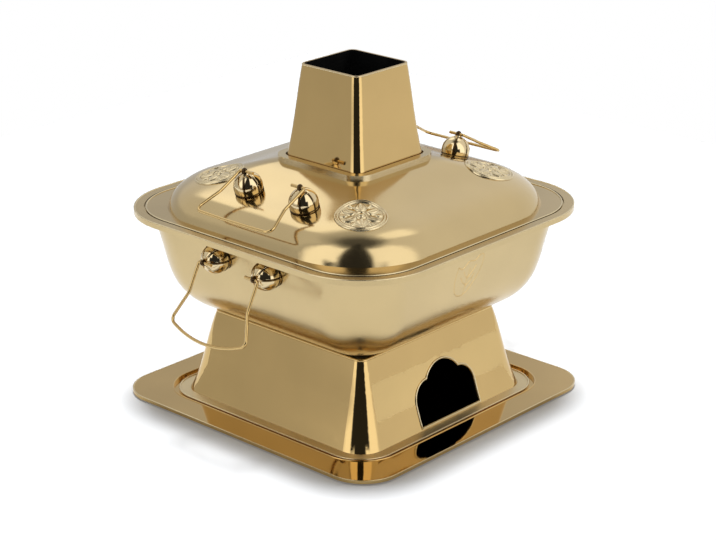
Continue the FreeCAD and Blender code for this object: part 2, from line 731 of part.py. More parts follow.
def bail(label, seat, side, droop, bow):
    """A wire bail on its two bosses, hanging at its droop below the level."""
    body = doc.addObject("PartDesign::Body", f"{label}_wire")
    planes = {plane.Role: plane for plane in body.Origin.OriginFeatures}
    path, pin_end = bail_path(body, planes["XY_Plane"], seat["spacing"], bow)
    profile = body.newObject("Sketcher::SketchObject", f"{label}_section")
    profile.AttachmentSupport = [(planes["XZ_Plane"], "")]
    profile.MapMode = "FlatFace"
    bind(profile, AttachmentOffset__Base__z=f"-1 * {pin_end}")
    profile.addGeometry(Part.Circle(vector(), UP, value(f"{cell('wire')} / 2")))
    constrain(profile, [("Coincident", 0, CENTRE, X_AXIS, START)], [(("Radius", 0), f"{cell('wire')} / 2")])
    doc.recompute()
    pipe = body.newObject("PartDesign::AdditivePipe", f"{label}_pipe")
    pipe.Profile = profile
    pipe.Spine = (path, [f"Edge{number + 1}" for number in range(path.GeometryCount)])
    doc.recompute()
    whole = body.newObject("PartDesign::Mirrored", f"{label}_mirror")
    whole.Originals = [pipe]
    whole.MirrorPlane = (planes["XZ_Plane"], [""])
    body.Tip = whole
    hang = f"{droop} * 1 deg" if side > 0 else f"180 deg - {droop} * 1 deg"
    body.Placement = FreeCAD.Placement(vector(), FreeCAD.Rotation(ACROSS, value(hang)))
    bind(body, Placement__Rotation__Angle=hang,
         Placement__Base__x=f"{side} * ({seat['reach']} + {EYE_HEIGHT} * sin({seat['tilt']}))",
         Placement__Base__z=f"{seat['height']} + {EYE_HEIGHT} * cos({seat['tilt']})")
    keep(body, label)


# ---------------------------------------------------------------- assembly

drip_tray()
stand_shell()
tube_outer = drawn("tube_outer", tube_stations())
pot_outer = drawn("pot_outer", stations("pot"))
pot_bowl(pot_outer, tube_outer)
fire_tube(tube_outer)
charcoal_grate()
lid_outer = drawn("lid_outer", stations("lid"))
lid_shell(lid_outer)
lid_collar(lid_outer)
lid_medallions(lid_outer)
boss = boss_blank()
for piece, seat, form in [("pot", POT_SEAT, pot_outer), ("lid", LID_SEAT, lid_outer)]:
    bosses(piece, seat, boss, form)
    fasteners(piece, seat)
    for side_name, side in SIDES.items():
        bail(f"{piece}_bail_{side_name}", seat, side, cell(f"{piece}_bail_tilt"),
             cell(f"{piece}_bail_bow"))
doc.recompute()

# ---------------------------------------------------------------- checks and export

for thing in doc.Objects:
    if any(flag in thing.State for flag in ("Invalid", "Error")):
        raise RuntimeError(f"{thing.Name} failed: {thing.State}")
for thing in finished:
    if thing.Shape.isNull() or not thing.Shape.isValid():
        raise RuntimeError(f"{thing.Label} is not a valid solid")
os.makedirs("parts", exist_ok=True)
for thing in finished:
    thing.Shape.exportStep(f"parts/{thing.Label}.step")
    print(thing.Label, len(thing.Shape.Solids), round(thing.Shape.Volume), thing.Shape.BoundBox)
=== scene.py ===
import math

import bmesh
import bpy
from mathutils import Matrix, Vector
from mathutils.bvhtree import BVHTree


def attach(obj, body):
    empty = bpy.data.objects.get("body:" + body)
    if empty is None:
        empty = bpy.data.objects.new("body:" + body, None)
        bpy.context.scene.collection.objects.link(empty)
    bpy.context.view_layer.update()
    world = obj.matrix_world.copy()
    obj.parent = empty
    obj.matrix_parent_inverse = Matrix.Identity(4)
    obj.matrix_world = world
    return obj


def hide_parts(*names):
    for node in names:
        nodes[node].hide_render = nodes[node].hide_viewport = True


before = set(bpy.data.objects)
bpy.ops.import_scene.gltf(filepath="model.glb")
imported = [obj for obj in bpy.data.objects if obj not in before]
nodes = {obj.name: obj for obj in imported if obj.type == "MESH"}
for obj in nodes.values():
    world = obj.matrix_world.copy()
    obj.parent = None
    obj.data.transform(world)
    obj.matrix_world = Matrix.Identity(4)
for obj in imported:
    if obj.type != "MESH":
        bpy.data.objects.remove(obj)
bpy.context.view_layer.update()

# Looks of the chimney hot pot: polished and satin gold-coloured sheet metal, sooted fire ways,
# relief medallions and grooved bosses, in a pale studio. The scene is in metres. Sizes of trim
# are named in millimetres, as in the CAD, and are multiplied by MM where they are used.

MM = 0.001
scene = bpy.context.scene
scene.view_settings.view_transform = "Standard"

# ---------------------------------------------------------------- camera

IMAGE_WIDTH = 716
SENSOR_WIDTH = 36
CAMERA_AZIMUTH = math.radians(-47.60)
CAMERA_ELEVATION = math.radians(20.70)
CAMERA_DISTANCE = 1.628
CAMERA_TARGET = Vector((0, 0, 0.0998))
FOCAL_PIXELS = 2068
OBJECT_OFFSET_PIXELS = -3.36


def direction(azimuth, elevation):
    """The unit vector from the centre towards an azimuth and elevation, azimuth 0 in front."""
    level = math.cos(elevation)
    return Vector((math.sin(azimuth) * level, -math.cos(azimuth) * level, math.sin(elevation)))


def add_camera():
    """The camera at the photograph's viewing angle."""
    data = bpy.data.cameras.new("camera")
    data.sensor_width = SENSOR_WIDTH
    data.lens = FOCAL_PIXELS * SENSOR_WIDTH / IMAGE_WIDTH
    data.shift_x = -OBJECT_OFFSET_PIXELS / IMAGE_WIDTH
    data.clip_start = 0.05
    data.clip_end = 100
    camera = bpy.data.objects.new("camera", data)
    scene.collection.objects.link(camera)
    back = direction(CAMERA_AZIMUTH, CAMERA_ELEVATION)
    right = Vector((math.cos(CAMERA_AZIMUTH), math.sin(CAMERA_AZIMUTH), 0))
    up = back.cross(right)
    turn = Matrix((right, up, back)).transposed().to_4x4()
    camera.matrix_world = Matrix.Translation(CAMERA_TARGET + CAMERA_DISTANCE * back) @ turn
    scene.camera = camera


# ---------------------------------------------------------------- node helpers


class Graph:
    """A small helper to lay out a material's or the world's nodes."""

    def __init__(self, tree):
        self.tree = tree
        tree.nodes.clear()

    def add(self, kind, settings=None, **inputs):
        """A node. An input is named as its socket, with _ for a space, or _0, _1 for its number."""
        node = self.tree.nodes.new(kind)
        for name, setting in (settings or {}).items():
            setattr(node, name, setting)
        for name, given in inputs.items():
            number = name[1:]
            key = int(number) if number.isdigit() else name.replace("_", " ")
            self.feed(node.inputs[key], given)
        return node

    def feed(self, socket, given):
        """Link a socket to another one, or set its value."""
        if isinstance(given, bpy.types.NodeSocket):
            self.tree.links.new(given, socket)
        else:
            socket.default_value = given

    def math(self, operation, *values):
        """The result of a Math node."""
        node = self.add("ShaderNodeMath", {"operation": operation})
        for socket, given in zip(node.inputs, values):
            self.feed(socket, given)
        return node.outputs[0]

    def remap(self, number, low, high, out_low=0, out_high=1, smooth=False):
        """A number moved from one range to another."""
        interpolation = "SMOOTHSTEP" if smooth else "LINEAR"
        node = self.add("ShaderNodeMapRange", {"interpolation_type": interpolation})
        for socket, given in zip(node.inputs, (number, low, high, out_low, out_high)):
            self.feed(socket, given)
        return node.outputs[0]

    def blend(self, factor, first, second):
        """A colour between two colours."""
        node = self.add("ShaderNodeMix", {"data_type": "RGBA"})
        self.feed(node.inputs[0], factor)
        self.feed(node.inputs[6], first)
        self.feed(node.inputs[7], second)
        return node.outputs[2]

    def noise(self, coordinates, scale, detail, stretch=(1, 1, 1)):
        """Noise, drawn out along an axis where its stretch is below 1."""
        mapping = self.add("ShaderNodeMapping", Vector=coordinates, Scale=stretch)
        node = self.add("ShaderNodeTexNoise", Vector=mapping.outputs[0], Scale=scale, Detail=detail)
        return node.outputs[0]


def new_material(name):
    """A material with an empty node tree."""
    material = bpy.data.materials.new(name)
    material.use_nodes = True
    return material, Graph(material.node_tree)


def rgb(*channels):
    """A colour with full alpha."""
    return (*channels, 1.0)


WHITE, BLACK = rgb(1, 1, 1), rgb(0, 0, 0)

# ---------------------------------------------------------------- studio

FLOOR_HALF = 0.75
FLOOR_DROP = 0.2
FLOOR_COLOUR = rgb(0.86, 0.885, 0.92)
FLOOR_GLOW = 0.10
WORLD_LIGHT, BACKDROP = 0.20, 1.0


def link(name, mesh):
    """A new object for a mesh."""
    piece = bpy.data.objects.new(name, mesh)
    scene.collection.objects.link(piece)
    return piece


def seen_directly(graph):
    """1 for what the camera, a mirror or glass shows, 0 for the light that falls on things."""
    path = graph.add("ShaderNodeLightPath").outputs
    seen = graph.math("MAXIMUM", path["Is Camera Ray"], path["Is Glossy Ray"])
    return graph.math("MAXIMUM", seen, path["Is Transmission Ray"])


def add_floor():
    """A plain pale table top that keeps the object's shadow, just below the object."""
    mesh = bpy.data.meshes.new("floor")
    half, drop = FLOOR_HALF, -FLOOR_DROP * MM
    corners = [(-half, -half, drop), (half, -half, drop), (half, half, drop), (-half, half, drop)]
    mesh.from_pydata(corners, [], [(0, 1, 2, 3)])
    floor = link("floor", mesh)
    material, graph = new_material("floor_white")
    diffuse = graph.add("ShaderNodeBsdfDiffuse", Color=FLOOR_COLOUR)
    glow = graph.add("ShaderNodeEmission", Color=WHITE, Strength=FLOOR_GLOW)
    nothing = graph.add("ShaderNodeEmission", Color=BLACK, Strength=0.0)
    glowing = graph.add("ShaderNodeMixShader", _0=seen_directly(graph), _1=nothing.outputs[0],
                        _2=glow.outputs[0])
    both = graph.add("ShaderNodeAddShader", _0=diffuse.outputs[0], _1=glowing.outputs[0])
    graph.add("ShaderNodeOutputMaterial", Surface=both.outputs[0])
    mesh.materials.append(material)


def add_world():
    """A white backdrop, over a softer light on the object."""
    world = bpy.data.worlds.new("studio")
    scene.world = world
    world.use_nodes = True
    graph = Graph(world.node_tree)
    light = graph.add("ShaderNodeBackground", Color=WHITE, Strength=WORLD_LIGHT)
    backdrop = graph.add("ShaderNodeBackground", Color=WHITE, Strength=BACKDROP)
    mixed = graph.add("ShaderNodeMixShader", _0=seen_directly(graph), _1=light.outputs[0],
                      _2=backdrop.outputs[0])
    graph.add("ShaderNodeOutputWorld", Surface=mixed.outputs[0])


def add_lamp(name, azimuth, elevation, distance, width, power):
    """A soft square lamp turned to the object, which mirrors don't show. Angles in degrees."""
    data = bpy.data.lights.new(name, "AREA")
    data.shape = "RECTANGLE"
    data.size, data.size_y = width, width
    data.energy = power
    lamp = bpy.data.objects.new(name, data)
    scene.collection.objects.link(lamp)
    away = direction(math.radians(azimuth), math.radians(elevation))
    lamp.location = CAMERA_TARGET + distance * away
    lamp.visible_glossy = False
    lamp.rotation_euler = away.to_track_quat("Z", "Y").to_euler()


TENT_RADIUS, TENT_RINGS, TENT_SPOKES = 4.0, 48, 96
TENT_FOOT, TENT_TOP = math.radians(-16), math.pi / 2 - 0.001

# The tent's cloth, back to front: a name, the first and last azimuth from the camera's place at
# rest, the lowest and highest elevation, the strength and the width of the soft edge. Angles are
# in degrees. At the highest strength, 1.6, polished gold just doesn't clip.
WALL_STRENGTH = 0.6
PANELS = [
    ("pale wall on the right", 20, 170, -25, 75, 0.95, 10),
    ("pale wall on the left", -165, -85, 15, 65, 0.8, 10),
    ("soft box on the left", -75, -20, 0, 70, 1.6, 15),
    ("soft box on the right", 15, 75, -10, 70, 1.6, 15),
    ("back light on the left", -175, -145, 35, 60, 1.6, 10),
    ("back light on the right", 125, 155, 52, 75, 1.6, 10),
    ("dark ceiling", -190, 190, 75, 95, 0.1, 15),
    ("dark room over the camera", -28, 18, -15, 95, 0.03, 8),
    ("dark room round the camera", -45, 35, -15, 24, 0.03, 8),
]


def between(graph, angle, first, last, soft):
    """1 between two angles, and 0 outside them, with a soft edge at each."""
    start = graph.remap(angle, first - soft / 2, first + soft / 2, smooth=True)
    end = graph.remap(angle, last - soft / 2, last + soft / 2, 1, 0, smooth=True)
    return graph.math("MULTIPLY", start, end)


def cloth_strength(graph):
    """How bright the tent is at each azimuth and elevation in the room."""
    place = graph.add("ShaderNodeNewGeometry").outputs["Position"]
    turned = graph.add("ShaderNodeVectorRotate", {"rotation_type": "Z_AXIS"}, Vector=place,
                       Angle=-CAMERA_AZIMUTH).outputs[0]
    x, y, z = graph.add("ShaderNodeSeparateXYZ", Vector=turned).outputs
    to_degrees = 180 / math.pi
    ahead = graph.math("MULTIPLY", y, -1.0)
    azimuth = graph.math("MULTIPLY", graph.math("ARCTAN2", x, ahead), to_degrees)
    share = graph.math("DIVIDE", z, TENT_RADIUS)
    elevation = graph.math("MULTIPLY", graph.math("ARCSINE", share), to_degrees)
    strength = WALL_STRENGTH
    for name, left, right, low, high, panel_strength, soft in PANELS:
        inside = graph.math("MULTIPLY", between(graph, azimuth, left, right, soft),
                            between(graph, elevation, low, high, soft))
        change = graph.math("MULTIPLY", inside, graph.math("SUBTRACT", panel_strength, strength))
        strength = graph.math("ADD", strength, change)
    return strength


def add_tent():
    """A dome of lit and dark cloth that only the metal mirrors, fixed to the room."""
    mesh = bpy.data.meshes.new("tent")
    points, faces = [], []
    for ring in range(TENT_RINGS + 1):
        rise = TENT_FOOT + (TENT_TOP - TENT_FOOT) * ring / TENT_RINGS
        for spoke in range(TENT_SPOKES):
            points.append(tuple(TENT_RADIUS * direction(math.tau * spoke / TENT_SPOKES, rise)))
    for ring in range(TENT_RINGS):
        low, high = ring * TENT_SPOKES, (ring + 1) * TENT_SPOKES
        for spoke in range(TENT_SPOKES):
            following = (spoke + 1) % TENT_SPOKES
            faces.append((low + spoke, low + following, high + following, high + spoke))
    mesh.from_pydata(points, [], faces)
    tent = link("tent", mesh)
    material, graph = new_material("tent_cloth")
    glow = graph.add("ShaderNodeEmission", Color=WHITE, Strength=cloth_strength(graph))
    graph.add("ShaderNodeOutputMaterial", Surface=glow.outputs[0])
    mesh.materials.append(material)
    tent.visible_camera = False
    tent.visible_diffuse = False
    tent.visible_shadow = False


# ---------------------------------------------------------------- materials

POLISHED = rgb(0.610, 0.425, 0.178)
SATIN = rgb(0.585, 0.447, 0.230)
RELIEF = rgb(0.670, 0.550, 0.335)
KNOB = rgb(0.700, 0.560, 0.330)
# Dark brown gold for painted shade: the gap beside the lid's edge, and the bosses' grooves, feet and tips.
PAINTED_SHADE = rgb(0.075, 0.045, 0.020)
CLOUD_SHADE = 0.93
SOOT_BLACK, ASH_GREY = rgb(0.006, 0.006, 0.006), rgb(0.02, 0.019, 0.018)

# How far scratches are drawn out along each axis: fine upright lines, softer ones, or none.
FINE_LINES, SOFT_LINES, EVEN = (1, 1, 0.1), (1, 1, 0.15), (1, 1, 1)


def gold(name, colour, smooth, rough, grain, stretch):
    """Gold-coloured metal with faint tone changes, hairline scratches and uneven polish."""
    material, graph = new_material(name)
    place = graph.add("ShaderNodeTexCoord").outputs["Object"]
    cloud = graph.noise(place, scale=18.0, detail=3.0)
    darker = rgb(*[channel * CLOUD_SHADE for channel in colour[:3]])
    tone = graph.blend(graph.remap(cloud, low=0.35, high=0.7), colour, darker)
    lines = graph.noise(place, scale=900.0, detail=4.0, stretch=stretch)
    smears = graph.noise(place, scale=45.0, detail=4.0)
    mixed = graph.math("ADD", graph.math("MULTIPLY", lines, 0.5), graph.math("MULTIPLY", smears, 0.5))
    roughness = graph.remap(mixed, low=0.32, high=0.68, out_low=smooth, out_high=rough)
    bump = graph.add("ShaderNodeBump", Strength=grain, Distance=0.0001, Height=lines)
    shader = graph.add("ShaderNodeBsdfPrincipled", Base_Color=tone, Metallic=1.0,
                       Roughness=roughness, Normal=bump.outputs[0])
    graph.add("ShaderNodeOutputMaterial", Surface=shader.outputs[0])
    return material


def soot():
    """Matt black soot with grey ash specks."""
    material, graph = new_material("soot")
    place = graph.add("ShaderNodeTexCoord").outputs["Object"]
    cloud = graph.noise(place, scale=60.0, detail=5.0)
    tone = graph.blend(graph.remap(cloud, low=0.45, high=0.75), SOOT_BLACK, ASH_GREY)
    bump = graph.add("ShaderNodeBump", Strength=0.4, Distance=0.0004, Height=cloud)
    shader = graph.add("ShaderNodeBsdfPrincipled", Base_Color=tone, Roughness=0.95,
                       Specular_IOR_Level=0.1, Normal=bump.outputs[0])
    graph.add("ShaderNodeOutputMaterial", Surface=shader.outputs[0])
    return material


polished = gold("gold_polished", POLISHED, smooth=0.03, rough=0.05, grain=0.004, stretch=FINE_LINES)
satin = gold("gold_satin", SATIN, smooth=0.16, rough=0.26, grain=0.08, stretch=SOFT_LINES)
lid_satin = gold("gold_lid", SATIN, smooth=0.10, rough=0.16, grain=0.03, stretch=SOFT_LINES)
relief = gold("gold_relief", RELIEF, smooth=0.18, rough=0.28, grain=0.01, stretch=EVEN)
knob = gold("gold_knob", KNOB, smooth=0.04, rough=0.07, grain=0.01, stretch=EVEN)
# A dark gold that paints shade into the seam inside the pot's rim and into the bosses' grooves.
painted_shade = gold("gold_painted_shade", PAINTED_SHADE, smooth=0.25, rough=0.40, grain=0.05, stretch=EVEN)
flange = gold("gold_flange", RELIEF, smooth=0.42, rough=0.52, grain=0.05, stretch=EVEN)
sooted = soot()

# Limits on the upright part of a face's normal: for a wall, however it leans, for a nearly
# upright wall, and for a level top.
LEANING_WALL, UPRIGHT_WALL, LEVEL_TOP = 0.8, 0.5, 0.9

# Heights in mm: the top of the stand's foot and shoulder, and the pot's ledge and rim.
FOOT_TOP, SHOULDER_TOP, LEDGE, POT_RIM_TOP = 2.4, 68.0, 154.9, 156.2
MARGIN = 0.1


def dress(name, *materials):
    """Give a CAD node its materials."""
    mesh = nodes[name].data
    mesh.materials.clear()
    for material in materials:
        mesh.materials.append(material)


def dress_all():
    """Polished gold on every CAD node but those that have a metal of their own."""
    own = {"pot_bowl": satin, "lid_shell": lid_satin, "lid_collar": relief, "charcoal_grate": sooted}
    for name in nodes:
        is_boss = "_boss_left" in name or "_boss_right" in name
        dress(name, knob if is_boss else own.get(name, polished))


def faces_in(spot, normal):
    """Whether a face looks towards the upright centre line."""
    return normal.x * spot.x + normal.y * spot.y < 0


def soot_inside(name, material):
    """Soot on a node's walls that look towards the centre line."""
    dress(name, material, sooted)
    for face in nodes[name].data.polygons:
        if faces_in(face.center, face.normal) and abs(face.normal.z) < LEANING_WALL:
            face.material_index = 1


def dress_where(name, material, wanted):
    """Another material on a node's faces whose middle, in mm, and normal pass a test."""
    mesh = nodes[name].data
    mesh.materials.append(material)
    for face in mesh.polygons:
        if wanted(face.center / MM, face.normal):
            face.material_index = len(mesh.materials) - 1


def is_stand_flat(spot, normal):
    """The level tops of the stand's foot and shoulder."""
    at_edge = spot.z < FOOT_TOP + MARGIN or spot.z > SHOULDER_TOP - MARGIN
    return normal.z > LEVEL_TOP and at_edge


def is_shaded_seam(spot, normal):
    """The low wall inside the pot's rim, which the lid's edge sits beside, painted dark as the shade in the
    gap.
    """
    upright = abs(normal.z) < UPRIGHT_WALL
    return LEDGE < spot.z < POT_RIM_TOP and upright and faces_in(spot, normal)


dress_all()
soot_inside("stand_shell", polished)
soot_inside("fire_tube", polished)
dress_where("stand_shell", flange, is_stand_flat)
# Painted shade on the pot's low inner rim wall, in the gap beside the lid's edge.
dress_where("pot_bowl", painted_shade, is_shaded_seam)

# ---------------------------------------------------------------- trim helpers

IN_FRONT = 200.0


def surface_of(name):
    """A CAD node's surface, to lay trim on."""
    mesh = nodes[name].data
    corners = [vertex.co.copy() for vertex in mesh.vertices]
    return BVHTree.FromPolygons(corners, [list(face.vertices) for face in mesh.polygons])


def from_front(surface, x, z):
    """Where a surface is met from the front, and its normal there, with x and z in mm."""
    start = Vector((x * MM, -IN_FRONT * MM, z * MM))
    spot, normal = surface.ray_cast(start, Vector((0, 1, 0)))[:2]
    return spot, normal


def finished(name, points, faces, material, body):
    """A closed smooth mesh piece that rides on a body."""
    mesh = bpy.data.meshes.new(name)
    mesh.from_pydata([tuple(point) for point in points], [], faces)
    mesh.materials.append(material)
    work = bmesh.new()
    work.from_mesh(mesh)
    bmesh.ops.recalc_face_normals(work, faces=work.faces)
    work.to_mesh(mesh)
    work.free()
    mesh.shade_smooth()
    piece = link(name, mesh)
    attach(piece, body)
    return piece


def tube(path, radius, closed, sides):
    """Points and faces of a round tube along a path, with flat ends if it is open."""
    points, faces = [], []
    count = len(path)
    side = None
    for index, place in enumerate(path):
        ahead = path[(index + 1) % count] if closed or index < count - 1 else place
        behind = path[index - 1] if closed or index else place
        along = (ahead - behind).normalized()
        if side is None:
            side = along.orthogonal().normalized()
        side = (side - along * side.dot(along)).normalized()
        across = along.cross(side)
        for step in range(sides):
            turn = math.tau * step / sides
            points.append(place + radius * (math.cos(turn) * side + math.sin(turn) * across))
    rings = count if closed else count - 1
    for ring in range(rings):
        near, far = ring * sides, ((ring + 1) % count) * sides
        for step in range(sides):
            following = (step + 1) % sides
            faces.append((near + step, near + following, far + following, far + step))
    if not closed:
        faces.append(tuple(range(sides))[::-1])
        faces.append(tuple(range((count - 1) * sides, count * sides)))
    return points, faces


def joined(shapes):
    """Points and faces of several shapes as one."""
    points, faces = [], []
    for more_points, more_faces in shapes:
        shift = len(points)
        points += more_points
        faces += [tuple(corner + shift for corner in face) for face in more_faces]
    return points, faces


# ---------------------------------------------------------------- medallions

# In mm: a medallion's radius, the way out to it from the centre line, its middle's height, how
# far above it the dome is felt for, and how deep its rim and its underside sink in the dome.
MEDALLION_RADIUS, MEDALLION_REACH, MEDALLION_HEIGHT = 20.0, 104.0, 180.3
MEDALLION_START, RIM_SINK, UNDERSIDE_SINK = 30.0, 0.2, 0.3
MEDALLION_TILT = math.radians(14.8)
MEDALLION_RINGS, MEDALLION_SPOKES = 84, 216

# The relief in mm: the plate's and the field's height over the dome, then ridges on each, as a
# radius, a rise and a half width.
PLATE, FIELD = 0.25, 0.2
PLATE_RIDGES = [(19.1, 0.85, 0.85), (17.1, 1.05, 0.95)]
FIELD_RIDGES = [(0, 1.2, 2.6), (3.9, 0.8, 0.7)]

# Leaves of the rosette. A skew under 1 moves the widest part inwards, and a lower fullness makes
# the tips blunter.
PETALS = 6
PETAL = {"start": 4.9, "length": 10.5, "half_width": 4.3, "skew": 0.8, "fullness": 0.75,
         "rise": 1.15, "rib": 0.55}
BUD = {"start": 10.2, "length": 5.7, "half_width": 2.1, "skew": 1, "fullness": 0.6,
       "rise": 0.9, "rib": 0}
RIB_WIDTH = 0.55


def ridge(distance, half_width):
    """The share of a round ridge's rise: 1 on its line, 0 beyond its half width."""
    share = min(abs(distance) / half_width, 1.0)
    return math.sqrt(1 - share * share)


def leaf(radius, lean, start, length, half_width, skew, fullness, rise, rib):
    """Height in mm of a rounded leaf that points outwards, with a groove down its middle."""
    reach = (radius - start) / length
    if not 0 < reach < 1:
        return 0.0
    edge = half_width * math.sin(math.pi * reach ** skew) ** fullness
    off = abs(lean) * radius
    if off >= edge:
        return 0.0
    groove = rib * math.exp(-(off / RIB_WIDTH) ** 2) * math.sin(math.pi * reach) ** 0.5
    return FIELD + rise * math.sqrt(1 - (off / edge) ** 2) - groove


def rosette(radius, turn):
    """Height in mm of the medallion's relief: two rings round a rosette of petals and buds."""
    heights = [PLATE]
    heights += [PLATE + rise * ridge(radius - at, width) for at, rise, width in PLATE_RIDGES]
    heights += [FIELD + rise * ridge(radius - at, width) for at, rise, width in FIELD_RIDGES]
    step = math.tau / PETALS
    heights.append(leaf(radius, (turn + step / 2) % step - step / 2, **PETAL))
    heights.append(leaf(radius, turn % step - step / 2, **BUD))
    return max(heights)


def add_medallion(side_name, x, end_name, y, dome):
    """A rosette in two rings on one corner of the lid, laid on the dome."""
    rings, spokes = MEDALLION_RINGS, MEDALLION_SPOKES
    outward = Vector((x, y, 0)).normalized()
    lean = Vector((0, 0, math.cos(MEDALLION_TILT)))
    axis = (outward * math.sin(MEDALLION_TILT) + lean).normalized()
    across = Vector((0, 0, 1)).cross(outward)
    along = across.cross(axis)
    centre = outward * MEDALLION_REACH * MM + Vector((0, 0, MEDALLION_HEIGHT * MM))
    points = []
    for ring in range(rings + 1):
        radius = MEDALLION_RADIUS * ring / rings
        for spoke in range(spokes if ring else 1):
            turn = math.tau * spoke / spokes
            way = math.cos(turn) * along + math.sin(turn) * across
            start = centre + radius * MM * way + MEDALLION_START * MM * axis
            place = dome.ray_cast(start, -axis)[0]
            height = rosette(radius, turn) if ring < rings else -RIM_SINK
            points.append(place + height * MM * axis)
    outer = 1 + (rings - 1) * spokes
    bottom = [points[outer + spoke] - UNDERSIDE_SINK * MM * axis for spoke in range(spokes)]
    base = len(points)
    middle = base + spokes
    points += bottom
    points.append(sum(bottom, Vector()) / spokes)
    pairs = [(spoke, (spoke + 1) % spokes) for spoke in range(spokes)]
    faces = [(0, 1 + s, 1 + t) for s, t in pairs]
    for ring in range(rings - 1):
        inner_ring, outer_ring = 1 + ring * spokes, 1 + (ring + 1) * spokes
        faces += [(inner_ring + s, outer_ring + s, outer_ring + t, inner_ring + t) for s, t in pairs]
    faces += [(outer + s, base + s, base + t, outer + t) for s, t in pairs]
    faces += [(middle, base + t, base + s) for s, t in pairs]
    name = f"medallion_{side_name}_{end_name}"
    piece = finished(name, points, faces, relief, "lid")
    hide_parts(f"lid_{name}")


def add_medallions():
    """The four medallions on the lid's corners."""
    dome = surface_of("lid_shell")
    for side_name, x in (("left", -1), ("right", 1)):
        for end_name, y in (("front", -1), ("rear", 1)):
            add_medallion(side_name, x, end_name, y, dome)


# ---------------------------------------------------------------- beads

# The air door in mm, as in the CAD: its middle and sill, then its half width, the height where
# its lobes start, their radius and the crown's height.
DOOR_CENTRE, DOOR_SILL = 4.0, 4.5
DOOR_HALF, DOOR_SPRING, DOOR_LOBE, DOOR_CROWN = 34.0, 21.0, 15.5, 46.8
SILL_STEPS, JAMB_STEPS, LOBE_STEPS, CROWN_STEPS = 24, 8, 16, 28
DOOR_BEAD_MARGIN, DOOR_BEAD_LIFT, DOOR_BEAD_RADIUS, DOOR_BEAD_SIDES = 0.9, 0.1, 0.75, 10

# Beads along the edges: the piece, its CAD node and body, then in mm the height where the edge is
# felt for, how far the bead lies in and up from there, and its radius. Then its metal, and
# whether the edge is felt for from inside.
RIM_BEADS = [
    ("well_bead", "drip_tray", "tray", 3.0, 0.35, 0.65, 0.5, polished, True),
    ("tray_bead", "drip_tray", "tray", 2.6, 0.65, 0.6, 0.65, relief, False),
    ("foot_bead", "stand_shell", "stand", 1.8, 0.7, 0.7, 0.7, relief, False),
    ("shoulder_bead", "stand_shell", "stand", 67.6, 1.15, 0.75, 1.2, polished, False),
    ("rim_bead", "pot_bowl", "pot", 155.5, 0.8, 0.4, 0.8, relief, False),
    ("chimney_bead", "fire_tube", "pot", 267.0, 0.45, 0.45, 0.6, relief, False),
    ("lid_bead", "lid_shell", "lid", 155.5, 0.7, 0.6, 0.7, relief, False),
]
RIM_STEPS, RIM_SIDES = 480, 12
OUTSIDE = 300.0


def arc(x, z, radius, first, last, steps):
    """Points of an arc in the door's plane, in mm and degrees."""
    turns = [math.radians(first + (last - first) * step / steps) for step in range(steps + 1)]
    return [(x + radius * math.cos(turn), z + radius * math.sin(turn)) for turn in turns]


def door_outline(grow):
    """The door's outline in mm, grown by a margin: sill, jambs, a lobe at each shoulder and the crown."""
    half, lobe = DOOR_HALF + grow, DOOR_LOBE + grow
    notch = DOOR_HALF - DOOR_LOBE
    rise = DOOR_CROWN - DOOR_SPRING - DOOR_LOBE
    crown = (notch ** 2 + rise ** 2) / (2 * rise)
    centre = DOOR_CROWN - crown
    lean = math.degrees(math.asin((DOOR_SPRING + DOOR_LOBE - centre) / crown))
    jamb = DOOR_SPRING - DOOR_SILL + grow
    foot = DOOR_SILL - grow
    sill = [(half * (2 * step / SILL_STEPS - 1), foot) for step in range(SILL_STEPS)]
    right = [(half, foot + jamb * step / JAMB_STEPS) for step in range(JAMB_STEPS)]
    lobe_right = arc(notch, DOOR_SPRING, lobe, 0, 90, LOBE_STEPS)
    top = arc(0, centre, crown + grow, lean, 180 - lean, CROWN_STEPS)
    lobe_left = arc(-notch, DOOR_SPRING, lobe, 90, 180, LOBE_STEPS)
    left = [(-half, DOOR_SPRING - jamb * step / JAMB_STEPS) for step in range(1, JAMB_STEPS)]
    return [(DOOR_CENTRE + u, w) for u, w in sill + right + lobe_right + top[1:-1] + lobe_left + left]


def add_door_bead():
    """A fine rolled bead round the air door."""
    skirt = surface_of("stand_shell")
    path = []
    for x, z in door_outline(DOOR_BEAD_MARGIN):
        spot, normal = from_front(skirt, x, z)
        path.append(spot + normal * DOOR_BEAD_LIFT * MM)
    points, faces = tube(path, DOOR_BEAD_RADIUS * MM, closed=True, sides=DOOR_BEAD_SIDES)
    finished("door_bead", points, faces, relief, "stand")


def add_rim_bead(name, node, body, height, inset, lift, radius, material, from_inside):
    """A fine rolled bead along one edge of a sheet piece."""
    sheet = surface_of(node)
    path = []
    for step in range(RIM_STEPS):
        out = direction(math.tau * (step + 0.5) / RIM_STEPS, 0)
        middle = Vector((0, 0, height * MM))
        if from_inside:
            hit = sheet.ray_cast(middle, out)
        else:
            hit = sheet.ray_cast(middle + OUTSIDE * MM * out, -out)
        away = Vector((hit[1].x, hit[1].y, 0)).normalized()
        path.append(hit[0] - away * inset * MM + Vector((0, 0, lift * MM)))
    points, faces = tube(path, radius * MM, closed=True, sides=RIM_SIDES)
    finished(name, points, faces, material, body)


# ---------------------------------------------------------------- bosses

# A boss in mm: its ball's radius, and how far the tip and the neck's start are from the ball's
# middle and along its axis.
BALL_RADIUS, BALL_TO_TIP, BALL_TO_NECK = 11.3, 15.5, 11.6
BOSS_TILTS = {"lid": math.radians(15.5), "pot": math.radians(90)}
LOBES = 6

# Grooves run from one angle to the other, measured from the boss's axis. The first groove is
# where the ball is thinnest, which is felt for at a third angle.
GROOVE_START, GROOVE_END, GROOVE_FELT = 26, 108, 75
GROOVE_STEPS, FOOT_STEPS = 20, 72
GROOVE_RADIUS, GROOVE_SIDES = 0.5, 8


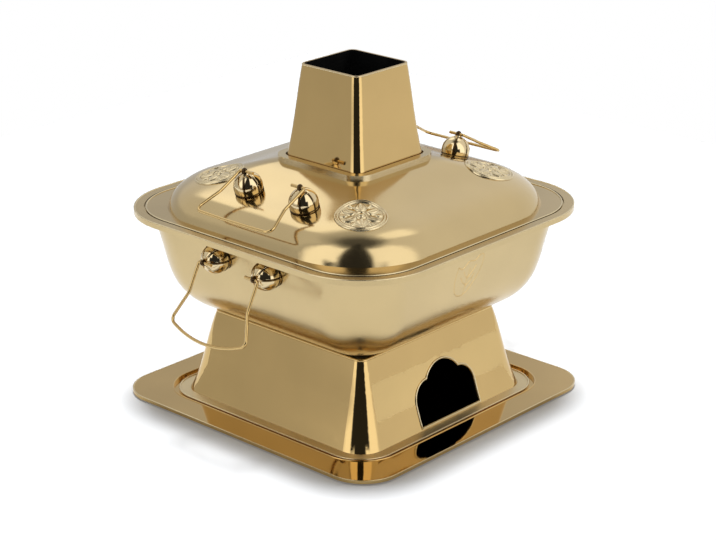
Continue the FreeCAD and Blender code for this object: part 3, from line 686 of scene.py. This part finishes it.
def add_groove_lines(piece, side_name, side, end_name):
    """Painted shade in the grooves between a boss's lobes and round its foot, and on its tip."""
    name = f"{piece}_boss_{side_name}_{end_name}"
    tilt = BOSS_TILTS[piece]
    axis = Vector((side * math.sin(tilt), 0, math.cos(tilt)))
    tip = max((vertex.co for vertex in nodes[name].data.vertices), key=axis.dot)
    centre = tip - BALL_TO_TIP * MM * axis
    across = Vector((0, 1, 0))
    along = across.cross(axis)
    ball = surface_of(name)

    def on_ball(turn, fall):
        """The spot on the ball at a turn about its axis and a fall, in degrees, from it."""
        fall = math.radians(fall)
        aside = math.cos(turn) * along + math.sin(turn) * across
        way = math.sin(fall) * aside + math.cos(fall) * axis
        return ball.ray_cast(centre + 2 * BALL_RADIUS * MM * way, -way)[0]

    def thickness(turn):
        """The ball's radius at a turn about its axis."""
        return (on_ball(turn, GROOVE_FELT) - centre).length

    def is_tip(spot, normal):
        """The boss's neck and tip, beyond the ball, which take painted shade."""
        return (spot * MM - centre).dot(axis) > BALL_TO_NECK * MM

    step = math.tau / LOBES
    first = min((0, step / 2), key=thickness)
    falls = [GROOVE_START + (GROOVE_END - GROOVE_START) * index / GROOVE_STEPS
             for index in range(GROOVE_STEPS + 1)]
    paths = [([on_ball(first + lobe * step, fall) for fall in falls], False) for lobe in range(LOBES)]
    foot = [on_ball(math.tau * index / FOOT_STEPS, GROOVE_END) for index in range(FOOT_STEPS)]
    paths.append((foot, True))
    points, faces = joined(tube(path, GROOVE_RADIUS * MM, closed, GROOVE_SIDES) for path, closed in paths)
    # Dark tubes that paint shade along the grooves and round the boss's foot.
    finished(f"{name}_grooves", points, faces, painted_shade, piece)
    dress_where(name, painted_shade, is_tip)


def add_all_groove_lines():
    """The groove lines of the lid's and the pot's eight bosses."""
    for piece in BOSS_TILTS:
        for side_name, side in (("left", -1), ("right", 1)):
            for end_name in ("front", "rear"):
                add_groove_lines(piece, side_name, side, end_name)


# ---------------------------------------------------------------- sprig

# Strokes of the sprig raised on the pot's front wall, as (x, z) points in mm, and the stroke's
# radius and how deep its middle lies under the wall's face.
SPRIG = [
    [(-17.5, 137), (-19.5, 131), (-20, 124), (-18.5, 117), (-14, 112.5), (-8, 111.5)],
    [(-17.5, 137), (-13, 134.5), (-9.5, 136.5), (-5, 139), (1, 138), (5, 140.5), (9, 141.5), (11.5, 139.5)],
    [(11.5, 139.5), (10.5, 133), (7.5, 126), (2, 119), (-3, 114), (-8, 111.5)],
    [(-8, 111.5), (-6.5, 119), (-5.5, 126), (-3.5, 133)],
    [(-6.3, 120), (-10.5, 123), (-13.5, 127.5)],
    [(-5.7, 125), (-8.5, 128), (-10.5, 131.5)],
    [(-6.4, 118.5), (-2, 122), (2, 127.5)],
    [(-5.4, 125.5), (-1, 129), (3.5, 134)],
]
SPRIG_RADIUS, SPRIG_SINK = 0.62, 0.44
SPRIG_STEPS, SPRIG_SIDES = 8, 12


def curve_spot(before, first, last, after, t):
    """The spot a share t of the way from the first to the last point, on a smooth curve."""
    spot = []
    for a, b, c, d in zip(before, first, last, after):
        spot.append(0.5 * (2 * b + (c - a) * t + (2 * a - 5 * b + 4 * c - d) * t * t
                           + (3 * b - a - 3 * c + d) * t ** 3))
    return spot


def smooth_stroke(stroke):
    """Close spots on a smooth curve through a stroke's points."""
    spots = []
    spans = len(stroke) - 1
    for span in range(spans):
        before, after = stroke[max(span - 1, 0)], stroke[min(span + 2, spans)]
        for step in range(SPRIG_STEPS + (span == spans - 1)):
            spots.append(curve_spot(before, stroke[span], stroke[span + 1], after, step / SPRIG_STEPS))
    return spots


def add_sprig():
    """A generic leaf sprig in a cartouche, raised a little from the wall."""
    wall = surface_of("pot_bowl")
    shapes = []
    for stroke in SPRIG:
        hits = [from_front(wall, x, z) for x, z in smooth_stroke(stroke)]
        path = [spot - normal * SPRIG_SINK * MM for spot, normal in hits]
        shapes.append(tube(path, SPRIG_RADIUS * MM, closed=False, sides=SPRIG_SIDES))
    points, faces = joined(shapes)
    finished("pot_sprig", points, faces, polished, "pot")


# ---------------------------------------------------------------- everything in place

add_medallions()
add_door_bead()
for bead in RIM_BEADS:
    add_rim_bead(*bead)
add_all_groove_lines()
add_sprig()

add_camera()
add_floor()
add_world()
add_tent()
add_lamp("overhead", azimuth=132.4, elevation=84.5, distance=6.0, width=1.1, power=355)
